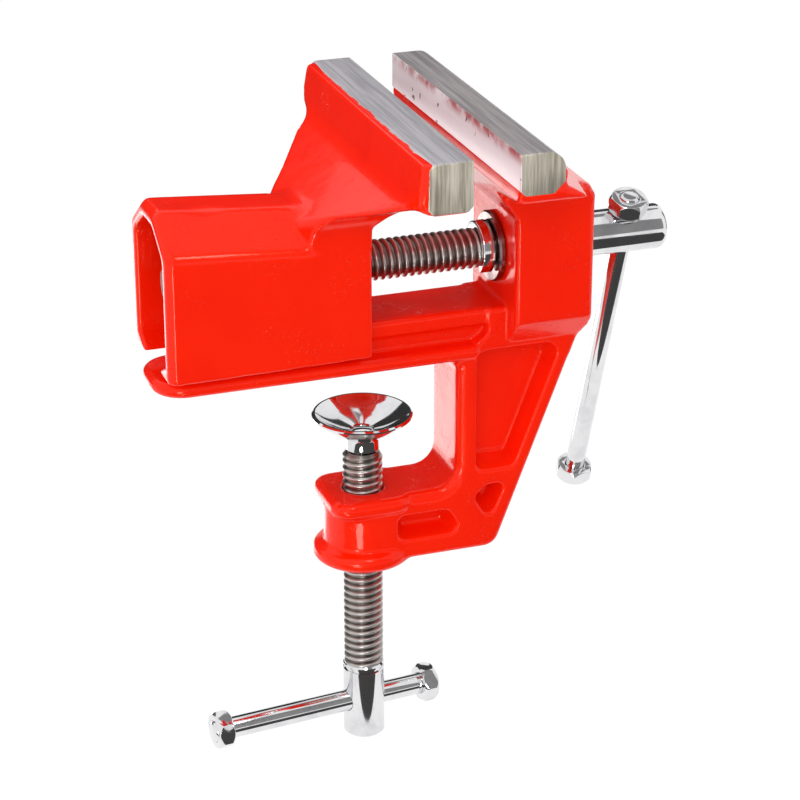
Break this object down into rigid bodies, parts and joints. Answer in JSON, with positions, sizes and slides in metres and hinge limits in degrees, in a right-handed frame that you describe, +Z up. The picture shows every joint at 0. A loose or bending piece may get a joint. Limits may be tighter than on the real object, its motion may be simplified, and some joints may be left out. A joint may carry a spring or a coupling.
{
  "type": "clamp-on bench vise",
  "caption": "Small bench vise that clamps to a table edge, with a sliding jaw on a T-rail, a lead screw and sliding bar handles.",
  "frame": {"origin": "where the clamp screw's axis meets the underside of the tongue, the face that lies on the table top", "axes": "+X along the lead screw from the sliding jaw to the fixed jaw, +Z up out of the table top, +Y along the jaws"},
  "size_m": [0.1062, 0.07, 0.1333],
  "materials": {
    "red_paint": "gloss enamel on a rough iron casting",
    "ground_steel": "ground, with marks along the top and up the ends",
    "plated_steel": "satin zinc on the threads, bright on the heads",
    "chrome_plate": "bright chrome"
  },
  "bodies": {
    "base": {"base_casting": "red_paint", "fixed_jaw_bar": "ground_steel", "thrust_washer": "plated_steel"},
    "lead_screw": {"lead_screw": "plated_steel", "retaining_ring": "plated_steel"},
    "sliding_jaw": {"sliding_jaw": "red_paint", "sliding_jaw_bar": "ground_steel"},
    "lead_handle": {"lead_handle_bar": "chrome_plate", "lead_handle_upper_nut": "chrome_plate", "lead_handle_lower_nut": "chrome_plate"},
    "clamp_pad": {"clamp_pad": "chrome_plate"},
    "clamp_screw": {"clamp_screw": "plated_steel"},
    "clamp_handle": {"clamp_handle_bar": "chrome_plate", "clamp_handle_left_nut": "chrome_plate", "clamp_handle_right_nut": "chrome_plate"}
  },
  "joints": [
    {"name": "lead_screw_turn", "type": "hinge", "parent": "base", "child": "lead_screw", "pos_m": [0.0437, 0, 0.0202], "axis": [1, 0, 0], "range_deg": [-2130, 5760]},
    {"name": "jaw_slide", "type": "slide", "parent": "base", "child": "sliding_jaw", "axis": [1, 0, 0], "range_m": [-0.0242, 0.0089]},
    {"name": "lead_handle_slide", "type": "slide", "parent": "lead_screw", "child": "lead_handle", "axis": [0, -0.3256, 0.9455], "range_m": [0, 0.0588]},
    {"name": "clamp_travel", "type": "slide", "parent": "base", "child": "clamp_pad", "axis": [0, 0, 1], "range_m": [-0.0104, 0.0111]},
    {"name": "clamp_screw_turn", "type": "hinge", "parent": "clamp_pad", "child": "clamp_screw", "pos_m": [0, 0, -0.03], "axis": [0, 0, 1], "range_deg": [-2490, 2660]},
    {"name": "clamp_handle_slide", "type": "slide", "parent": "clamp_screw", "child": "clamp_handle", "axis": [0.9943, 0.1063, 0], "range_m": [-0.008, 0.0254]}
  ],
  "couplings": [
    {"joint": "jaw_slide", "follows": "lead_screw_turn", "m_per_rad": -0.00023873},
    {"joint": "clamp_travel", "follows": "clamp_screw_turn", "m_per_rad": 0.00023873}
  ]
}
